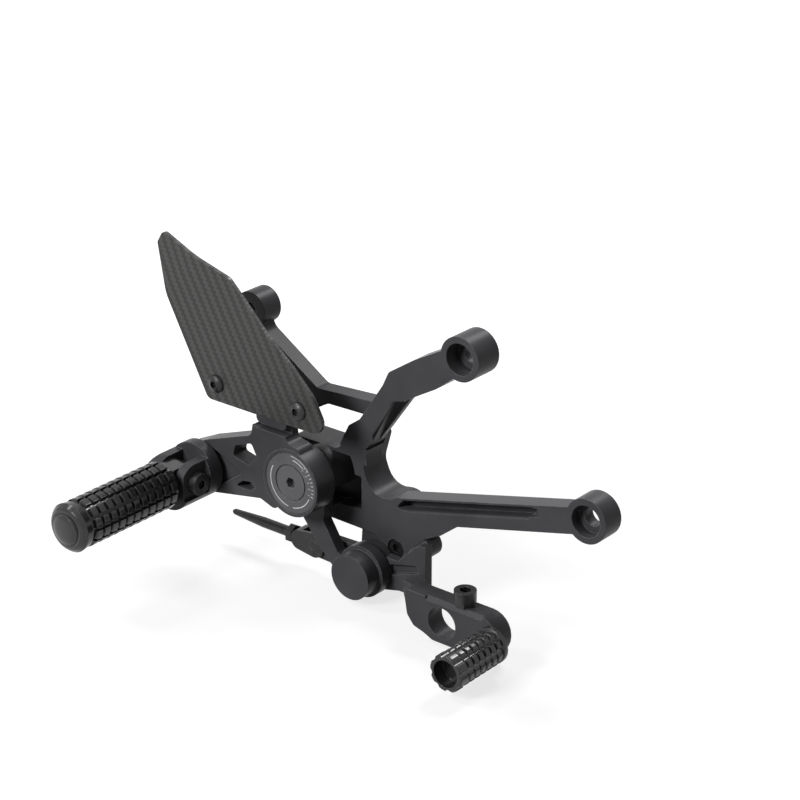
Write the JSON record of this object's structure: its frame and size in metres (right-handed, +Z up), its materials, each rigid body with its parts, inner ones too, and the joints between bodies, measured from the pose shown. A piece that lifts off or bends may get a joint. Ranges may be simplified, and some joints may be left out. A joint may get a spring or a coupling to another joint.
{
  "type": "motorcycle rear set footrest",
  "caption": "Right-hand motorcycle rear set: arm bracket, adjustable folding footpeg, heel guard, and brake lever with toe peg and push rod.",
  "frame": {"origin": "axis of the upper frame bolt, on the boss face that rests on the motorcycle's frame", "axes": "+X towards the front of the bike, +Z up, +Y towards the frame; the rider's foot is on the -Y side"},
  "size_m": [0.2902, 0.1621, 0.1923],
  "materials": {
    "anodised": "satin black anodised",
    "grip": "gloss black anodised",
    "steel": "black oxide",
    "carbon": "satin carbon twill laminate",
    "bronze": "plain"
  },
  "bodies": {
    "bracket_body": {"main_bracket": "anodised", "peg_carrier": "anodised", "clamp_disc": "anodised", "adjuster_bolt": "steel", "index_pins": "steel", "lever_stay": "anodised", "peg_clevis": "anodised", "clevis_screw": "steel", "fold_bolt": "steel", "fold_nut": "steel", "fold_spring": "steel", "heel_guard": "carbon", "guard_holder": "anodised", "guard_screws": "steel", "holder_screws": "steel", "pivot_bolt": "steel", "pivot_washers": "steel", "corner_screw": "steel"},
    "peg_body": {"footpeg": "grip", "peg_end_plug": "grip"},
    "lever_body": {"brake_lever": "anodised", "lever_bush": "bronze", "toe_peg": "grip", "toe_bolt": "steel", "height_screw": "steel", "height_nut": "steel"},
    "rod_body": {"rod_fork": "steel", "fork_pin": "steel", "rod_nut": "steel", "push_rod": "steel"}
  },
  "joints": [
    {"name": "peg_fold", "type": "hinge", "parent": "bracket_body", "child": "peg_body", "pos_m": [-0.164, -0.065, -0.099], "axis": [-1, 0, 0], "range_deg": [0, 75], "stiffness_Nm_per_rad": 0.1, "springref_deg": -28.65},
    {"name": "lever_pivot", "type": "hinge", "parent": "bracket_body", "child": "lever_body", "pos_m": [-0.057, -0.02, -0.138], "axis": [0, 1, 0], "range_deg": [0, 10]},
    {"name": "rod_swing", "type": "hinge", "parent": "lever_body", "child": "rod_body", "pos_m": [-0.099, -0.02, -0.138], "axis": [0, 1, 0], "range_deg": [-30, 25]}
  ]
}
